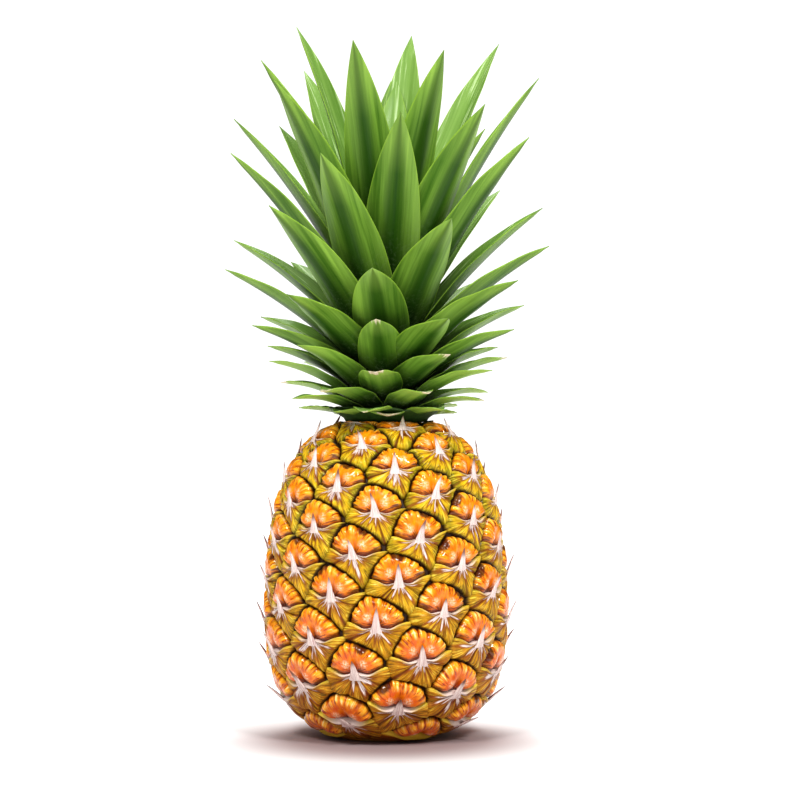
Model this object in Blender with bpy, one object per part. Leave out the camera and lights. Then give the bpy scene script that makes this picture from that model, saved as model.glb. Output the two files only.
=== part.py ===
"""A fresh pineapple standing on its cut base: the fruit, its leafy crown and the stub of its stalk.

Lengths are in metres and +Z is up. The origin is the middle of the base, on the surface it stands on.
The front is the side towards -Y. Angles round the fruit are turned from the front towards +X.
"""

import math

import bmesh
import bpy
import numpy as np
from mathutils import Vector

MM = 0.001
COLLECTION = "pineapple"
GAP = 0.3 * MM

# The fruit's barrel form
FRUIT_RADIUS = 62.4 * MM
WIDEST_HEIGHT = 60 * MM
LOWER_REACH, LOWER_POWER = 62.2 * MM, 2.2
UPPER_REACH, UPPER_POWER = 102.5 * MM, 2.5
SEAT_HEIGHT = 160.7 * MM
STALK_RADIUS = 14 * MM
STALK_LENGTH = 10 * MM
STALK_SET_BACK = 1 * MM

# The eyes, counted down the spiral. The counts and the falling density give about 95 of them,
# smaller towards the crown. Their rows lean: higher on one side of the fruit than on the other.
FIRST_EYE, LAST_EYE = -3, 91
FIRST_EYE_ANGLE, EYE_TURN = math.radians(15.5), math.radians(137.67)
EYES_ABOVE_TOP, EYES_PER_AREA, EYES_THINNING = -6.13, 126.6, -26.55
EYES_LEAN, EYES_LEAN_LOSS = 4.13 * MM, 0.129 * MM
NEIGHBOUR_STEPS = (3, 5, 8, 13, 21)
FULL_CELL_AREA = 698 * MM * MM
RELIEF_DEPTH = 3.8 * MM
FOLD_DEPTH = 0.6 * MM
BRACT_FOLD_ANGLE = math.radians(27)
SPINE_RADIUS = 1.7 * MM
SPINE_RISE = 8.2 * MM
SPINE_STAND = 3.7 * MM
SPINE_ROOT = 3.5 * MM
LOWEST_SPINE, HIGHEST_SPINE = 6 * MM, 152 * MM
SKIN_COLUMNS, SKIN_ROWS = 440, 250
SKIN_TRIANGLES = 6400

# The crown. The leaves are counted up the stem; the short ones below leaf 0 clasp its neck.
FIRST_LEAF, LAST_LEAF = -6, 64
FRONT_LEAF = 2
LEAF_TURN = math.radians(137.48)
FRONT_LEAF_ANGLE = math.radians(-10)
STEM_HEIGHT = 60 * MM
STEM_BASE_RADIUS, STEM_TOP_RADIUS = 20 * MM, 8 * MM
LEAF_THICKNESS = 1.3 * MM
LOW_LEAF_CHANNEL, LEAF_CHANNEL = 0.09, 0.2
# Leaves that grew out of line: how far each is turned, in degrees, and its tip raised, in mm
OUT_OF_LINE = {-6: (-8, 0), 2: (-3, -4), 8: (10, 4), 9: (5, -3), 10: (-4, -5), 12: (9, 2),
               13: (0, 5), 15: (-8, -5), 18: (5, 4), 20: (-5, -4), 22: (-7, -2), 23: (13, 8),
               28: (8, -2), 30: (14, 2), 33: (5, 0), 34: (0, 4), 36: (0, -7), 39: (14, 13),
               41: (-6, -2), 42: (0, -10), 43: (-9, 0), 44: (2, 12), 46: (0, 9), 47: (0, -4),
               48: (-15, -24), 49: (-3, -4), 50: (-4, -4), 51: (0, 12), 53: (0, 13),
               54: (-3, -19), 55: (0, -22), 56: (5, 19), 58: (4, 0), 60: (-5, -11),
               61: (9, 11), 62: (9, -14), 63: (0, 5), 64: (66, 0)}
# Young leaves that aren't full grown: the share of their length that they have
HALF_GROWN = {59: 0.7, 64: 0.84}


def fruit_radius(height):
    """Radius of the barrel at a height: round below, longer and flatter above its widest place."""
    below = height < WIDEST_HEIGHT
    reach = np.where(below, LOWER_REACH, UPPER_REACH)
    power = np.where(below, LOWER_POWER, UPPER_POWER)
    away = np.abs(height - WIDEST_HEIGHT) / reach
    return FRUIT_RADIUS * np.clip(1 - away**power, 0, 1) ** (1 / 3)


def meridian():
    """The barrel's side line from its lowest point to its top, as arrays: height, radius, arc
    length from below, and the share of the skin that lies above."""
    heights = np.linspace(WIDEST_HEIGHT - LOWER_REACH, WIDEST_HEIGHT + UPPER_REACH, 8001)
    radii = fruit_radius(heights)
    steps = np.hypot(np.diff(heights), np.diff(radii))
    middles = (radii[1:] + radii[:-1]) / 2
    arc = np.concatenate([[0], np.cumsum(steps)])
    area = np.concatenate([[0], np.cumsum(2 * math.pi * middles * steps)])
    return heights, radii, arc, 1 - area / area[-1], area[-1]


HEIGHTS, RADII, ARC, SKIN_ABOVE, SKIN_AREA = meridian()


def eye_places(number):
    """Angle, arc length and size of the eyes of these numbers, and the share of the skin above
    them. Equal steps close to the golden angle give the rows of 5, 8 and 13, and the count against
    the skin's area sets the height."""
    span = EYES_PER_AREA**2 + 4 * EYES_THINNING * (number - EYES_ABOVE_TOP)
    above = (EYES_PER_AREA - np.sqrt(np.maximum(span, 0))) / (-2 * EYES_THINNING)
    angle = FIRST_EYE_ANGLE + number * EYE_TURN
    lean = (EYES_LEAN - EYES_LEAN_LOSS * number) * np.sin(angle)
    arc = np.interp(-above, -SKIN_ABOVE, ARC) + lean
    cell = SKIN_AREA / (EYES_PER_AREA + 2 * EYES_THINNING * above)
    return angle, arc, np.sqrt(cell / FULL_CELL_AREA), above


EYE_ANGLES, EYE_ARCS, EYE_SIZES, _ = eye_places(np.arange(FIRST_EYE, LAST_EYE + 1))


def turned(angle):
    """The angle brought to between minus and plus half a turn."""
    return (angle + math.pi) % (2 * math.pi) - math.pi


def cell_reach(eye, direction):
    """Distance from an eye's middle to the edge of its cell, halfway to its neighbours."""
    closeness = np.zeros_like(direction)
    number = eye + FIRST_EYE
    for step in NEIGHBOUR_STEPS:
        for other in (number - step, number + step):
            angle, arc, _, above = eye_places(other)
            if not 0 < above < 1:
                continue
            radius = np.interp((arc + EYE_ARCS[eye]) / 2, ARC, RADII)
            across = turned(angle - EYE_ANGLES[eye]) * radius
            up = arc - EYE_ARCS[eye]
            square = across**2 + up**2
            toward = 2 * (across * np.cos(direction) + up * np.sin(direction)) / square
            closeness += np.clip(toward, 0, None) ** 8
    return np.maximum(closeness, 1) ** (-1 / 8)


def smooth(low, high, value):
    share = np.clip((value - low) / (high - low), 0, 1)
    return share * share * (3 - 2 * share)


def eye_relief(eye, across, up):
    """Height over the creases of one eye: the bulging cap above its middle, the bract below."""
    direction = np.arctan2(up, across)
    out = np.hypot(across, up) / cell_reach(eye, direction)
    upward = np.sin(direction)
    cap = np.interp(out, [0, 0.16, 0.5, 0.7, 0.86, 1.06], [0.3, 0.38, 0.97, 1.0, 0.84, -0.1])
    cap = cap * smooth(-0.22, 0.16, upward)
    bract = np.interp(out, [0, 0.12, 0.55, 1.0, 1.4], [0.62, 0.7, 0.6, 0.25, -0.1])
    bract = bract * smooth(0.0, -0.26, upward)
    from_down = np.abs(turned(direction + math.pi / 2))
    fold = np.exp(-(((from_down - BRACT_FOLD_ANGLE) / 0.15) ** 2)) * smooth(0.1, 0.3, out)
    bract = bract - fold * FOLD_DEPTH / RELIEF_DEPTH * (upward < 0)
    return np.maximum(cap, bract) * RELIEF_DEPTH


def skin_relief(angles, arcs):
    """Height over the creases at places on the skin: the highest of the eyes that reach there,
    as scales overlap. It fades out towards both ends of the barrel."""
    relief = np.zeros_like(angles)
    radii = np.interp(arcs, ARC, RADII)
    for eye in range(len(EYE_ANGLES)):
        across = turned(angles - EYE_ANGLES[eye]) * radii
        up = arcs - EYE_ARCS[eye]
        near = np.hypot(across, up) < 30 * MM
        relief[near] = np.maximum(relief[near], eye_relief(eye, across[near], up[near]))
    ends = smooth(20 * MM, 32 * MM, arcs) * smooth(16 * MM, 26 * MM, ARC[-1] - arcs)
    return RELIEF_DEPTH + (relief - RELIEF_DEPTH) * ends


def place_on_skin(angle, arc, stand):
    """Points over the barrel at an angle and arc length, stand metres out of its envelope."""
    radius = np.interp(arc, ARC, RADII)
    height = np.interp(arc, ARC, HEIGHTS)
    step = 0.2 * MM
    lean = np.interp(arc + step, ARC, RADII) - np.interp(arc - step, ARC, RADII)
    rise = np.interp(arc + step, ARC, HEIGHTS) - np.interp(arc - step, ARC, HEIGHTS)
    length = np.hypot(lean, rise)
    radius = radius + stand * rise / length
    height = height - stand * lean / length
    return np.stack([radius * np.sin(angle), -radius * np.cos(angle), height], axis=-1)


def bridge(mesh, lower, upper):
    count = len(lower)
    for i in range(count):
        j = (i + 1) % count
        mesh.faces.new((lower[i], lower[j], upper[j]))
        mesh.faces.new((lower[i], upper[j], upper[i]))


def fan(mesh, rim, centre):
    for i in range(len(rim)):
        mesh.faces.new((rim[i], rim[(i + 1) % len(rim)], centre))


def finished(name, mesh, colour, roughness):
    """The object of a mesh, with its normals out and a plain material of its own."""
    bmesh.ops.recalc_face_normals(mesh, faces=mesh.faces)
    data = bpy.data.meshes.new(name)
    mesh.to_mesh(data)
    mesh.free()
    data.shade_smooth()
    data.set_sharp_from_angle(angle=math.radians(40))
    material = bpy.data.materials.new(name)
    material.use_nodes = True
    shader = material.node_tree.nodes["Principled BSDF"]
    shader.inputs["Base Color"].default_value = (*colour, 1)
    shader.inputs["Roughness"].default_value = roughness
    shader.inputs["Metallic"].default_value = 0
    data.materials.append(material)
    return bpy.data.objects.new(name, data)


def make_skin():
    """The closed barrel with the relief of its eyes, as a fine grid between two end points."""
    angles = np.linspace(-math.pi, math.pi, SKIN_COLUMNS, endpoint=False)
    arcs = np.linspace(0, ARC[-1], SKIN_ROWS + 2)[1:-1]
    arcs, angles = (grid.ravel() for grid in np.meshgrid(arcs, angles, indexing="ij"))
    stands = skin_relief(angles, arcs) - RELIEF_DEPTH
    points = place_on_skin(angles, arcs, stands)
    mesh = bmesh.new()
    verts = [mesh.verts.new(point) for point in points]
    rows = [verts[i:i + SKIN_COLUMNS] for i in range(0, len(verts), SKIN_COLUMNS)]
    for lower, upper in zip(rows, rows[1:]):
        bridge(mesh, lower, upper)
    fan(mesh, rows[0][::-1], mesh.verts.new((0, 0, HEIGHTS[0])))
    fan(mesh, rows[-1], mesh.verts.new((0, 0, HEIGHTS[-1])))
    return mesh


def make_spine(eye):
    """One papery spine: a slim four-sided pyramid that leans up over its cap, its root sunk in."""
    angle, arc, size = EYE_ANGLES[eye], EYE_ARCS[eye], EYE_SIZES[eye]
    foot, above, out, beside = (Vector(place_on_skin(*place)) for place in (
        (angle, arc, 0), (angle, arc + MM, 0), (angle, arc, MM), (angle + 0.01, arc, 0)))
    upward = (above - foot).normalized()
    outward = (out - foot).normalized()
    across = (beside - foot).normalized()
    tip = foot + upward * SPINE_RISE * size + outward * SPINE_STAND
    lean = (tip - foot).normalized()
    root = foot - outward * 1.5 * MM - lean * SPINE_ROOT
    mesh = bmesh.new()
    thick = across.cross(lean) * 0.6
    base = [mesh.verts.new(root + step * SPINE_RADIUS) for step in (across, thick, -across, -thick)]
    mesh.faces.new(base)
    fan(mesh, base, mesh.verts.new(tip))
    bmesh.ops.recalc_face_normals(mesh, faces=mesh.faces)
    data = bpy.data.meshes.new("spine")
    mesh.to_mesh(data)
    mesh.free()
    return bpy.data.objects.new("spine", data)


def make_cutter(name, radius, bottom, top):
    """An upright round cutter."""
    mesh = bmesh.new()
    bmesh.ops.create_cone(mesh, cap_ends=True, segments=40, radius1=radius, radius2=radius,
                          depth=top - bottom)
    bmesh.ops.translate(mesh, verts=mesh.verts, vec=(0, 0, (bottom + top) / 2))
    data = bpy.data.meshes.new(name)
    mesh.to_mesh(data)
    mesh.free()
    cutter = bpy.data.objects.new(name, data)
    cutter.hide_render = True
    cutter.display_type = "WIRE"
    return cutter


def joined_mesh(base, operation, others):
    """The mesh of an object after one Boolean with a collection of others, which it removes."""
    scene = bpy.context.scene.collection
    scene.objects.link(base)
    group = bpy.data.collections.new(operation)
    scene.children.link(group)
    for other in others:
        group.objects.link(other)
    boolean = base.modifiers.new("join", "BOOLEAN")
    boolean.operation = operation
    boolean.operand_type = "COLLECTION"
    boolean.collection = group
    boolean.solver = "MANIFOLD"
    bpy.context.view_layer.update()
    mesh = bmesh.new()
    mesh.from_object(base, bpy.context.evaluated_depsgraph_get())
    bmesh.ops.triangulate(mesh, faces=mesh.faces)
    for other in others:
        bpy.data.objects.remove(other)
    bpy.data.collections.remove(group)
    bpy.data.objects.remove(base)
    return mesh


def make_fruit():
    """The fruit: the relief thinned to the faces that it needs, the spines joined on, and then
    the flat base, the hollow for the stalk and the flat seat of the crown cut."""
    skin = finished("skin", make_skin(), (0, 0, 0), 1)
    thin = skin.modifiers.new("thin", "DECIMATE")
    thin.ratio = SKIN_TRIANGLES / len(skin.data.polygons)
    feet = np.interp(EYE_ARCS, ARC, HEIGHTS)
    spines = [make_spine(eye) for eye, foot in enumerate(feet) if LOWEST_SPINE < foot < HIGHEST_SPINE]
    spined = finished("spined", joined_mesh(skin, "UNION", spines), (0, 0, 0), 1)
    hollow = STALK_SET_BACK + STALK_LENGTH + GAP
    cutters = [make_cutter("base_cutter", FRUIT_RADIUS, 2 * HEIGHTS[0], 0),
               make_cutter("stalk_cutter", STALK_RADIUS + GAP, HEIGHTS[0], hollow),
               make_cutter("seat_cutter", STEM_BASE_RADIUS + 5 * MM, SEAT_HEIGHT, 2 * SEAT_HEIGHT)]
    return finished("fruit", joined_mesh(spined, "DIFFERENCE", cutters), (0.62, 0.27, 0.035), 0.45)


def make_stalk():
    """The stub of the stalk, cut off just inside the base."""
    mesh = bmesh.new()
    bmesh.ops.create_cone(mesh, cap_ends=True, segments=24, radius1=STALK_RADIUS,
                          radius2=STALK_RADIUS, depth=STALK_LENGTH)
    middle = STALK_SET_BACK + STALK_LENGTH / 2
    bmesh.ops.translate(mesh, verts=mesh.verts, vec=(0, 0, middle))
    return finished("stalk", mesh, (0.45, 0.36, 0.18), 0.8)


def leaf_tip(index):
    """Reach and height of a leaf's tip, from leaf 0 up to the innermost, and shorter below."""
    share = max(index, 0) / LAST_LEAF
    short = min(index, 0)
    shares = [0, 0.1, 0.23, 0.35, 0.45, 0.55, 0.66, 0.78, 0.9, 1]
    reach = np.interp(share, shares, [45, 55, 61, 63, 78, 83, 84, 78, 79, 47])
    height = np.interp(share, shares, [167, 173, 189, 201, 214, 238, 265, 320, 346, 362])
    return (reach + 2.2 * short) * MM, (height + 0.6 * short) * MM


def leaf_width(share, along):
    """Width of a leaf from its root at 0 to its tip at 1: narrow scale leaves low on the stem, the
    broadest halfway up. A blade is full along its first half and then runs out to its point."""
    fullest = 0.35
    greatest = np.interp(share, [0, 0.25, 0.55, 0.8, 1], [19, 22, 28, 29, 27]) * MM
    foot = np.interp(share, [0, 0.4], [1, 0.55])
    if along < fullest:
        return greatest * (foot + (1 - foot) * smooth(0, fullest, along))
    return greatest * (1 - ((along - fullest) / (1 - fullest)) ** 2.3)


def make_leaf(index):
    """One blade: a channelled, pointed strip along an arched line, its root inside the stem."""
    share = max(index, 0) / LAST_LEAF
    turn, lift = OUT_OF_LINE.get(index, (0, 0))
    angle = FRONT_LEAF_ANGLE - (index - FRONT_LEAF) * LEAF_TURN + math.radians(turn)
    out = Vector((math.sin(angle), -math.cos(angle), 0))
    side = Vector((math.cos(angle), math.sin(angle), 0))
    root_height = SEAT_HEIGHT + (1.6 + 54 * share**1.5) * MM
    stem = np.interp(share, [0, 1], [STEM_BASE_RADIUS, STEM_TOP_RADIUS])
    root = out * (stem - 4 * MM) + Vector((0, 0, root_height))
    reach, height = leaf_tip(index)
    chord = out * reach + Vector((0, 0, height + lift * MM)) - root
    chord *= HALF_GROWN.get(index, 1)
    tip = root + chord
    arch = chord.cross(side) * np.interp(share, [0, 0.06, 0.2, 0.4, 1], [0.08, 0.18, 0.16, 0.09, 0.06])
    bend = (root + tip) / 2 + arch

    channel = np.interp(share, [0, 0.4], [LOW_LEAF_CHANNEL, LEAF_CHANNEL])
    mesh = bmesh.new()
    rings = []
    for t in (0, 0.22, 0.47, 0.72, 0.91):
        middle = root.lerp(bend, t).lerp(bend.lerp(tip, t), t)
        along = (bend.lerp(tip, t) - root.lerp(bend, t)).normalized()
        normal = along.cross(side)
        half = leaf_width(share, t) / 2
        rise = normal * half * 2 * channel
        half_thick = normal * LEAF_THICKNESS / 2
        line = [middle - side * half + rise, middle, middle + side * half + rise]
        rings.append([mesh.verts.new(p + half_thick) for p in line]
                     + [mesh.verts.new(p - half_thick) for p in reversed(line)])
    for lower, upper in zip(rings, rings[1:]):
        for i in range(6):
            j = (i + 1) % 6
            if i in (0, 4, 5):
                mesh.faces.new((lower[i], lower[j], upper[j]))
                mesh.faces.new((lower[i], upper[j], upper[i]))
            else:
                mesh.faces.new((lower[i], lower[j], upper[i]))
                mesh.faces.new((lower[j], upper[j], upper[i]))
    fan(mesh, rings[-1], mesh.verts.new(tip))
    left_top, middle_top, right_top, right_under, middle_under, left_under = rings[0]
    mesh.faces.new((left_top, middle_top, middle_under, left_under))
    mesh.faces.new((middle_top, right_top, right_under, middle_under))
    bmesh.ops.triangulate(mesh, faces=[f for f in mesh.faces if len(f.verts) > 3])
    bmesh.ops.recalc_face_normals(mesh, faces=mesh.faces)
    data = bpy.data.meshes.new("leaf")
    mesh.to_mesh(data)
    mesh.free()
    return bpy.data.objects.new("leaf", data)


def largest_body(mesh):
    """Drops the loose scraps and sealed hollows that joining the blades can leave."""
    islands = []
    left = set(mesh.verts)
    while left:
        island = {left.pop()}
        edge_of = list(island)
        while edge_of:
            vert = edge_of.pop()
            for edge in vert.link_edges:
                other = edge.other_vert(vert)
                if other in left:
                    left.remove(other)
                    island.add(other)
                    edge_of.append(other)
        islands.append(island)
    islands.sort(key=len)
    bmesh.ops.delete(mesh, geom=[v for island in islands[:-1] for v in island], context="VERTS")


def make_crown():
    """The crown: the blades on their golden-angle spiral, joined to the short stem."""
    mesh = bmesh.new()
    bmesh.ops.create_cone(mesh, cap_ends=True, segments=20, radius1=STEM_BASE_RADIUS,
                          radius2=STEM_TOP_RADIUS, depth=STEM_HEIGHT)
    middle = SEAT_HEIGHT + GAP + STEM_HEIGHT / 2
    bmesh.ops.translate(mesh, verts=mesh.verts, vec=(0, 0, middle))
    stem = finished("stem", mesh, (0, 0, 0), 1)
    blades = [make_leaf(index) for index in range(FIRST_LEAF, LAST_LEAF + 1)]
    joined = joined_mesh(stem, "UNION", blades)
    largest_body(joined)
    return finished("crown", joined, (0.07, 0.17, 0.025), 0.5)


def main():
    for old in list(bpy.data.objects):
        bpy.data.objects.remove(old)
    collection = bpy.data.collections.new(COLLECTION)
    bpy.context.scene.collection.children.link(collection)
    for made in (make_fruit(), make_stalk(), make_crown()):
        collection.objects.link(made)


main()
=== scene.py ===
"""The looks of a fresh pineapple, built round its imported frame.

Lengths are in metres and +Z is up. The front is the side towards -Y, and angles round the fruit are
turned from the front towards +X. The file follows the fruit as it grew: the flesh, the eyes with
their caps, bracts and spines, the stub of the stalk, then the stem and the leaves of the crown.
"""

import math

import bpy
import numpy as np
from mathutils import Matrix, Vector


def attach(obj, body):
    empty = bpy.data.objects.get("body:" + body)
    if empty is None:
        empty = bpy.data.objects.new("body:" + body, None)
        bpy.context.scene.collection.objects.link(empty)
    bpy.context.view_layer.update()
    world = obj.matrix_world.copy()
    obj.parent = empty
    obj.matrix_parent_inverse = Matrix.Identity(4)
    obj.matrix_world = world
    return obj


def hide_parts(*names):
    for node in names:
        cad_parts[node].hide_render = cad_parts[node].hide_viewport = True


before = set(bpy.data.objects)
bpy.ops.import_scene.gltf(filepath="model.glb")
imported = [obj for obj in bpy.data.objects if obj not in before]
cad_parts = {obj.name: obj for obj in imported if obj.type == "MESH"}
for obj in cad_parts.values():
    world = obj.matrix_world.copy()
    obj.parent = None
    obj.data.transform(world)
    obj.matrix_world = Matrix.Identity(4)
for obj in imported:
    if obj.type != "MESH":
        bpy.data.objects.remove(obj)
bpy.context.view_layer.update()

# ---- The flesh between the eyes ----
# The body of the fruit, fused from the berries of the flower head. All that shows of it is the
# dark brown skin at the bottom of the creases, and the corky ring that the fruit stands on.

MM = 0.001
FRUIT_RADIUS, WIDEST_HEIGHT = 62.4 * MM, 60 * MM
LOWER_REACH, LOWER_POWER = 62.2 * MM, 2.2
UPPER_REACH, UPPER_POWER = 102.5 * MM, 2.5
SEAT_HEIGHT = 160.7 * MM
STALK_RADIUS, STALK_TOP = 14 * MM, 11.3 * MM
RELIEF_DEPTH = 3.8 * MM
CREASE_BELOW = 0.5 * MM
FLESH_COLUMNS, FLESH_ROWS = 160, 72
CORK_HEIGHT, STALK_GAP, BASE_ROUNDING = 2.6 * MM, 0.3 * MM, 1.2 * MM


def barrel_radius(height):
    """Radius of the barrel at a height: round below, longer and flatter above its widest place."""
    below = height < WIDEST_HEIGHT
    reach = np.where(below, LOWER_REACH, UPPER_REACH)
    power = np.where(below, LOWER_POWER, UPPER_POWER)
    away = np.abs(height - WIDEST_HEIGHT) / reach
    return FRUIT_RADIUS * np.clip(1 - away**power, 0, 1) ** (1 / 3)


HEIGHTS = np.linspace(WIDEST_HEIGHT - LOWER_REACH, WIDEST_HEIGHT + UPPER_REACH, 8001)
RADII = barrel_radius(HEIGHTS)
steps = np.hypot(np.diff(HEIGHTS), np.diff(RADII))
ARC = np.concatenate([[0], np.cumsum(steps)])
area = np.concatenate([[0], np.cumsum(math.pi * (RADII[1:] + RADII[:-1]) * steps)])
SKIN_AREA = area[-1]
SKIN_ABOVE = 1 - area / SKIN_AREA
BASE_ARC = float(np.interp(0, HEIGHTS, ARC))
NECK_ARC = float(np.interp(SEAT_HEIGHT - 0.6 * MM, HEIGHTS, ARC))


def smooth(low, high, value):
    """From 0 at low to 1 at high, with soft ends."""
    share = np.clip((value - low) / (high - low), 0, 1)
    return share * share * (3 - 2 * share)


def on_barrel(angle, arc, stand):
    """Points at an angle and an arc length up from below, stand metres out of the barrel."""
    step = 0.2 * MM
    lean = np.interp(arc + step, ARC, RADII) - np.interp(arc - step, ARC, RADII)
    rise = np.interp(arc + step, ARC, HEIGHTS) - np.interp(arc - step, ARC, HEIGHTS)
    length = np.hypot(lean, rise)
    radius = np.interp(arc, ARC, RADII) + stand * rise / length
    height = np.interp(arc, ARC, HEIGHTS) - stand * lean / length
    return np.stack([radius * np.sin(angle), -radius * np.cos(angle), height], axis=-1)


def grid_faces(rows, columns, closed=False):
    """Faces of a grid of points, row by row; closed joins its last column to its first."""
    row = np.arange(rows - 1)[:, None] * columns
    first = np.arange(columns if closed else columns - 1)[None, :]
    second = (first + 1) % columns
    faces = np.stack([row + first, row + second, row + columns + second, row + columns + first], -1)
    return faces.reshape(-1, 4)


def make_piece(name, points, faces, marks, material, node):
    """One piece of the fruit from arrays. Marks are named values at each point, which the
    material's patterns follow. The piece stands for a node of the frame."""
    data = bpy.data.meshes.new(name)
    data.from_pydata(points.tolist(), [], faces.tolist())
    for mark, values in marks.items():
        stored = data.attributes.new(mark, "FLOAT_VECTOR", "POINT")
        stored.data.foreach_set("vector", np.asarray(values, np.float32).ravel())
    data.materials.append(material)
    data.shade_smooth()
    data.validate()
    piece = bpy.data.objects.new(name, data)
    bpy.context.scene.collection.objects.link(piece)
    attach(piece, "root")
    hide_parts(node)
    return piece


def linear(code):
    """Linear colour of an sRGB hex code."""
    parts = [int(code[i:i + 2], 16) / 255 for i in (1, 3, 5)]
    return (*(p / 12.92 if p <= 0.04045 else ((p + 0.055) / 1.055) ** 2.4 for p in parts), 1)


def feed(tree, end, value):
    """Gives an input a value, or the socket that it takes. A node stands for its first output
    that is switched on."""
    if isinstance(value, bpy.types.Node):
        value = next(socket for socket in value.outputs if socket.enabled)
    if isinstance(value, bpy.types.NodeSocket):
        tree.links.new(value, end)
    else:
        end.default_value = value


def add(tree, kind, settings, inputs):
    """One shader node, with its settings by name and what each of its inputs takes."""
    made = tree.nodes.new(kind)
    for name, value in settings.items():
        setattr(made, name, value)
    for place, value in inputs.items():
        feed(tree, made.inputs[place], value)
    return made


def start_material(name, roughness, **settings):
    """A material with its Principled shader, whose uniform values are set here."""
    material = bpy.data.materials.new(name)
    material.use_nodes = True
    shader = material.node_tree.nodes["Principled BSDF"]
    shader.inputs["Roughness"].default_value = roughness
    for place, value in settings.items():
        shader.inputs[place.replace("_", " ")].default_value = value
    return material, material.node_tree, shader


# The inputs of a mix of two colours, and of a range of values, which is stretched to run from 0 to
# 1, or from LEAST to MOST
COLOUR, SOFT_STEP = {"data_type": "RGBA"}, {"interpolation_type": "SMOOTHSTEP"}
SHARE, UNDER, OVER = 0, 6, 7
START, END, LEAST, MOST = 1, 2, 3, 4

# Crease skin: fruit rind at the bottom of the creases. Its near-black brown is partly the rind's
# own colour and partly painted shade standing for the deep creases. It has a dull, slightly damp
# look, is mottled about every 3 mm, and is corky on the ring where the fruit was cut.
crease_rind, tree, shader = start_material("crease_rind", 0.6)
place = add(tree, "ShaderNodeTexCoord", {}, {}).outputs["Object"]
height = add(tree, "ShaderNodeSeparateXYZ", {}, {0: place}).outputs["Z"]
mottle = add(tree, "ShaderNodeTexNoise", {}, {"Vector": place, "Scale": 300.0, "Detail": 5.0})
# Painted shade: the brown is darkened to near black, for the shade at the bottom of the creases
brown = add(tree, "ShaderNodeMix", COLOUR,
            {SHARE: mottle, UNDER: linear("#1c0c03"), OVER: linear("#43230a")})
cork = add(tree, "ShaderNodeMix", COLOUR,
           {SHARE: mottle, UNDER: linear("#7a5a2c"), OVER: linear("#b99a5e")})
to_cork = add(tree, "ShaderNodeMapRange", SOFT_STEP, {0: height, START: CORK_HEIGHT, END: 0.8 * MM})
skin = add(tree, "ShaderNodeMix", COLOUR, {SHARE: to_cork, UNDER: brown, OVER: cork})
grain = add(tree, "ShaderNodeBump", {}, {"Height": mottle, "Strength": 0.5, "Distance": 0.4 * MM})
feed(tree, shader.inputs["Base Color"], skin)
feed(tree, shader.inputs["Normal"], grain)


def round_ring(radius, turns, height):
    """Points round the fruit's axis, at these turns from the front."""
    return np.stack([radius * np.sin(turns), -radius * np.cos(turns), height + 0 * turns], -1)


# The side runs a little below the bottom of the creases, and out to full size at the base
arcs = np.linspace(BASE_ARC, NECK_ARC, FLESH_ROWS)
sunk = -(RELIEF_DEPTH + CREASE_BELOW) * smooth(BASE_ARC - 1 * MM, BASE_ARC + 6 * MM, arcs)
turns = np.linspace(0, 2 * math.pi, FLESH_COLUMNS, endpoint=False)
side = on_barrel(np.tile(turns, FLESH_ROWS), np.repeat(arcs, FLESH_COLUMNS),
                 np.repeat(sunk, FLESH_COLUMNS))
side[:, 2] = np.maximum(side[:, 2], 0)
# Under it is the hollow of the stalk, down to its rounded rim, and over it the seat of the crown
hollow = [round_ring(radius, turns, height) for radius, height in (
    (0.5 * MM, STALK_TOP), (STALK_RADIUS + STALK_GAP, STALK_TOP),
    (STALK_RADIUS + STALK_GAP, BASE_ROUNDING), (STALK_RADIUS + BASE_ROUNDING, 0.0))]
seat = [round_ring(radius, turns, SEAT_HEIGHT - 0.3 * MM) for radius in (15 * MM, 0.5 * MM)]
points = np.concatenate([*hollow, side, *seat])
faces = grid_faces(len(points) // FLESH_COLUMNS, FLESH_COLUMNS, closed=True)
make_piece("crease_flesh", points, faces, {}, crease_rind, "fruit")

# ---- The caps of the eyes ----
# The orange upper half of each eye, where the sepals of one flower closed over it and swelled.
# A glossy waxy dome with ridges running out from the spine to a scalloped rim, fused to its
# neighbours along the dark creases.

GOLDEN_ROWS = (3, 5, 8, 13, 21)
FIRST_EYE, LAST_EYE = -3, 91
FIRST_EYE_ANGLE, EYE_TURN = math.radians(15.5), math.radians(137.67)
EYES_ABOVE_TOP, EYES_PER_AREA, EYES_THINNING = -6.13, 126.6, -26.55
EYES_LEAN, EYES_LEAN_LOSS = 4.13 * MM, 0.129 * MM
FULL_CELL_AREA = 698 * MM * MM
CAP_SPOKES, CAP_RINGS = 78, 13
CAP_BELOW = math.radians(32)
CAP_HALF_WIDTH, CAP_HALF_HEIGHT, CAP_RAISED = 15.2 * MM, 12.4 * MM, 4.6 * MM
WING_RISE = math.radians(9)
LIP_DIP, LIP_DIP_ASIDE, LIP_DIP_SIZE = 1.9 * MM, 6.5, 4
# How high a cap stands, from its middle at 0 out to its rim at 1, in shares of the relief
CAP_OUT = [0, 0.12, 0.3, 0.5, 0.68, 0.8, 0.9, 0.96, 1.02]
CAP_HEIGHTS = [0.1, 0.3, 0.7, 0.93, 1.02, 1.0, 0.86, 0.5, -0.3]
CHEEK_ASIDE, CHEEK_UP, CHEEK_SIZE = 4.3 * MM, 4.7 * MM, 2.4
SCALLOPS, RIDGES = 8.5, (24, 36)
BRUISED_SHARE, CAP_SEED = 0.5, 1000
rng = np.random.default_rng(7)


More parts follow.
